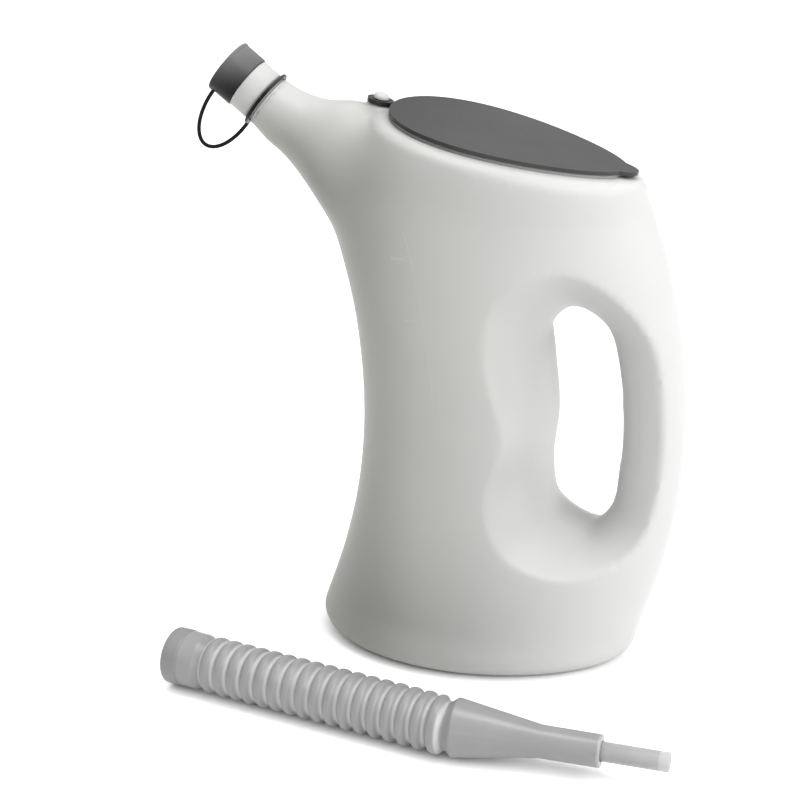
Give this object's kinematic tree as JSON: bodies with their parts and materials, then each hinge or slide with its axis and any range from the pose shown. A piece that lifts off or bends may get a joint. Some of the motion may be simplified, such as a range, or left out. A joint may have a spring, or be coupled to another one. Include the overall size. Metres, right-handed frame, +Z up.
{
  "type": "oil measuring jug with flexible spout",
  "caption": "Blow-moulded oil jug with a hollow side handle, a swivelling egg-shaped lid, a tethered push-on cap on an angled pouring neck, and a separate corrugated spout lying beside it.",
  "frame": {"origin": "middle of the jug's flat foot, on the surface it stands on", "axes": "+Z up, +X towards the handle, -X towards the pouring neck; the flexible spout lies on the -Y side"},
  "size_m": [0.2697, 0.193, 0.3129],
  "materials": {
    "natural_hdpe": "satin translucent natural polyethylene, blow moulded",
    "natural_ldpe": "soft translucent natural polyethylene",
    "clear_ldpe": "thin, more see-through polyethylene tube",
    "dark_lid": "fine satin dark grey moulding",
    "dark_cap": "smooth dark grey moulding",
    "seal_foam": "white foamed liner"
  },
  "bodies": {
    "jug": {"jug_body": "natural_hdpe", "neck_mouth": "natural_hdpe", "lid_pivot_pin": "natural_hdpe"},
    "lid": {"lid": "dark_lid"},
    "tether": {"tether_ring": "dark_cap", "cap_strap": "dark_cap"},
    "cap": {"pour_cap": "dark_cap", "cap_seal": "seal_foam"},
    "spout_base": {"spout_collar": "natural_ldpe", "bellows_1": "natural_ldpe"},
    "spout_segment_2": {"bellows_2": "natural_ldpe"},
    "spout_segment_3": {"bellows_3": "natural_ldpe"},
    "spout_segment_4": {"bellows_4": "natural_ldpe"},
    "spout_segment_5": {"bellows_5": "natural_ldpe"},
    "spout_segment_6": {"bellows_6": "natural_ldpe"},
    "spout_nozzle": {"nozzle_cone": "natural_ldpe", "tip_tube": "clear_ldpe"}
  },
  "joints": [
    {"name": "lid_swivel", "type": "hinge", "parent": "jug", "child": "lid", "pos_m": [-0.05446, 0, 0.28956], "axis": [0.2178, 0, 0.976], "range_deg": [-110, 110]},
    {"name": "tether_turn", "type": "hinge", "parent": "jug", "child": "tether", "pos_m": [-0.1342, 0, 0.3022], "axis": [0.7815, 0, -0.6239], "continuous": true},
    {"name": "cap_pull", "type": "slide", "parent": "tether", "child": "cap", "axis": [-0.7815, 0, 0.6239], "range_m": [0, 0.022]},
    {"name": "spout_lift", "type": "slide", "parent": "jug", "child": "spout_base", "axis": [0, 0, 1], "range_m": [0, 0.06]},
    {"name": "spout_bend_1", "type": "hinge", "parent": "spout_base", "child": "spout_segment_2", "pos_m": [-0.09651, -0.09858, 0.0146], "axis": [0, 0, 1], "range_deg": [-12, 3]},
    {"name": "spout_bend_2", "type": "hinge", "parent": "spout_segment_2", "child": "spout_segment_3", "pos_m": [-0.07349, -0.10323, 0.0146], "axis": [0, 0, 1], "range_deg": [-12, 3]},
    {"name": "spout_bend_3", "type": "hinge", "parent": "spout_segment_3", "child": "spout_segment_4", "pos_m": [-0.05047, -0.10789, 0.0146], "axis": [0, 0, 1], "range_deg": [-12, 3]},
    {"name": "spout_bend_4", "type": "hinge", "parent": "spout_segment_4", "child": "spout_segment_5", "pos_m": [-0.02744, -0.11254, 0.0146], "axis": [0, 0, 1], "range_deg": [-12, 3]},
    {"name": "spout_bend_5", "type": "hinge", "parent": "spout_segment_5", "child": "spout_segment_6", "pos_m": [-0.00442, -0.1172, 0.0146], "axis": [0, 0, 1], "range_deg": [-12, 3]},
    {"name": "spout_bend_6", "type": "hinge", "parent": "spout_segment_6", "child": "spout_nozzle", "pos_m": [0.01093, -0.1203, 0.0146], "axis": [0, 0, 1], "range_deg": [-12, 3]}
  ],
  "couplings": [
    {"joint": "spout_bend_2", "follows": "spout_bend_1", "ratio": 1},
    {"joint": "spout_bend_3", "follows": "spout_bend_1", "ratio": 1},
    {"joint": "spout_bend_4", "follows": "spout_bend_1", "ratio": 1},
    {"joint": "spout_bend_5", "follows": "spout_bend_1", "ratio": 1},
    {"joint": "spout_bend_6", "follows": "spout_bend_1", "ratio": 1}
  ]
}
